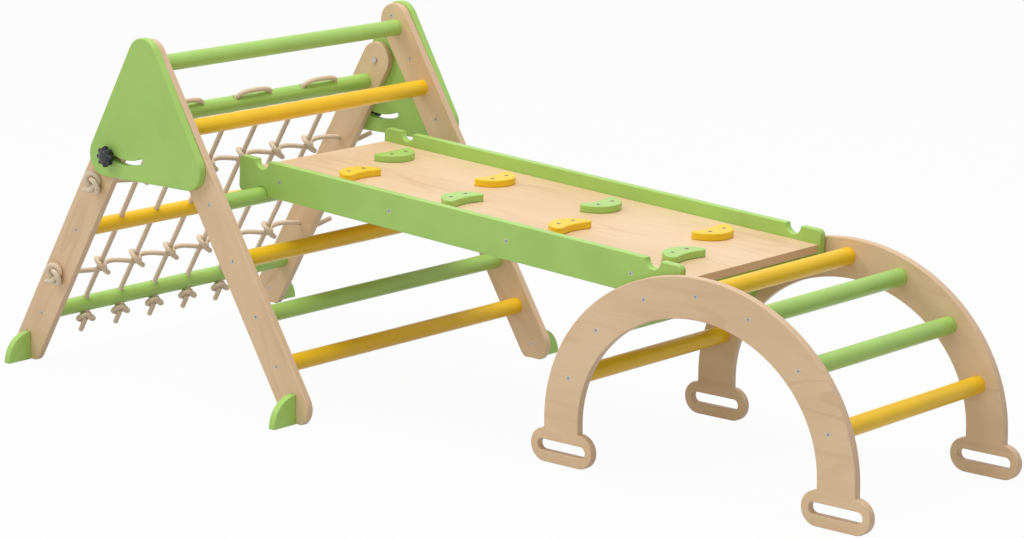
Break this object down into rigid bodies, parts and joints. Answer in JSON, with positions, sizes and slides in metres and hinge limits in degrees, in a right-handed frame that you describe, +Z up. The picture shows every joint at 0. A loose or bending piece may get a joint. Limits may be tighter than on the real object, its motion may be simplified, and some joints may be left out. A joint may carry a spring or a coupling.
{
  "type": "wooden climbing frame",
  "caption": "Toddler climbing set: a folding triangle with ladder rungs and a rope net, a hooked-on ramp with half-moon holds, and a climbing arch that carries the ramp's lower end.",
  "frame": {"origin": "on the floor, in the middle of the bounding box", "axes": "+X from the net side to the arch, +Y across the rungs away from the viewer, +Z up"},
  "size_m": [2.3444, 0.934, 0.799],
  "materials": {
    "plywood": "clear satin varnish",
    "green_wood": "satin paint",
    "yellow_wood": "satin paint",
    "rope": "braided",
    "knob": "satin",
    "steel": "zinc plated"
  },
  "bodies": {
    "ladder_frame": {"ladder_leg_near": "plywood", "ladder_leg_far": "plywood", "ladder_rung_1": "green_wood", "ladder_rung_2": "yellow_wood", "ladder_rung_3": "green_wood", "ladder_rung_4": "yellow_wood", "ladder_rung_5": "green_wood", "ladder_rung_6": "yellow_wood", "gusset_near": "green_wood", "gusset_far": "green_wood", "ladder_foot_near": "green_wood", "ladder_foot_far": "green_wood", "ladder_rung_screws": "steel", "gusset_screws": "steel", "ladder_foot_screws": "steel", "pivot_bolts": "steel", "pivot_inserts": "steel"},
    "net_frame": {"net_leg_near": "plywood", "net_leg_far": "plywood", "net_rung_top": "green_wood", "net_rung_mid": "yellow_wood", "net_rung_bottom": "green_wood", "net_foot_near": "green_wood", "net_foot_far": "green_wood", "net_rung_screws": "steel", "net_foot_screws": "steel", "net_rope_1": "rope", "net_rope_2": "rope", "net_rope_3": "rope", "cross_rope_upper": "rope", "cross_rope_lower": "rope", "clamp_inserts": "steel", "clamp_bolts": "steel"},
    "clamp_knob_near": {"knob_near": "knob"},
    "clamp_knob_far": {"knob_far": "knob"},
    "ramp": {"ramp_rail_near": "green_wood", "ramp_rail_far": "green_wood", "ramp_panel": "plywood", "hold_1": "green_wood", "hold_2": "yellow_wood", "hold_3": "yellow_wood", "hold_4": "green_wood", "hold_5": "green_wood", "hold_6": "yellow_wood", "hold_7": "yellow_wood", "hold_8": "green_wood", "hold_screws": "steel", "rail_screws": "steel"},
    "arch": {"arch_side_near": "plywood", "arch_side_far": "plywood", "arch_rung_1": "yellow_wood", "arch_rung_2": "green_wood", "arch_rung_3": "green_wood", "arch_rung_4": "yellow_wood", "arch_rung_5": "green_wood", "arch_rung_6": "green_wood", "arch_rung_7": "yellow_wood", "arch_screws": "steel"}
  },
  "joints": [
    {"name": "net_fold", "type": "hinge", "parent": "ladder_frame", "child": "net_frame", "pos_m": [-0.75091, 0, 0.65335], "axis": [0, -1, 0], "range_deg": [0, 43]},
    {"name": "knob_near_turn", "type": "hinge", "parent": "net_frame", "child": "clamp_knob_near", "pos_m": [-0.80336, -0.418, 0.52355], "axis": [0, -1, 0], "continuous": true},
    {"name": "knob_far_turn", "type": "hinge", "parent": "net_frame", "child": "clamp_knob_far", "pos_m": [-0.80336, 0.418, 0.52355], "axis": [0, 1, 0], "continuous": true},
    {"name": "ramp_tilt", "type": "hinge", "parent": "ladder_frame", "child": "ramp", "pos_m": [-0.50284, 0, 0.44758], "axis": [0, -1, 0], "range_deg": [0, 60]},
    {"name": "arch_shift", "type": "slide", "parent": "ladder_frame", "child": "arch", "axis": [0, 1, 0], "range_m": [-0.004, 0.004]}
  ]
}
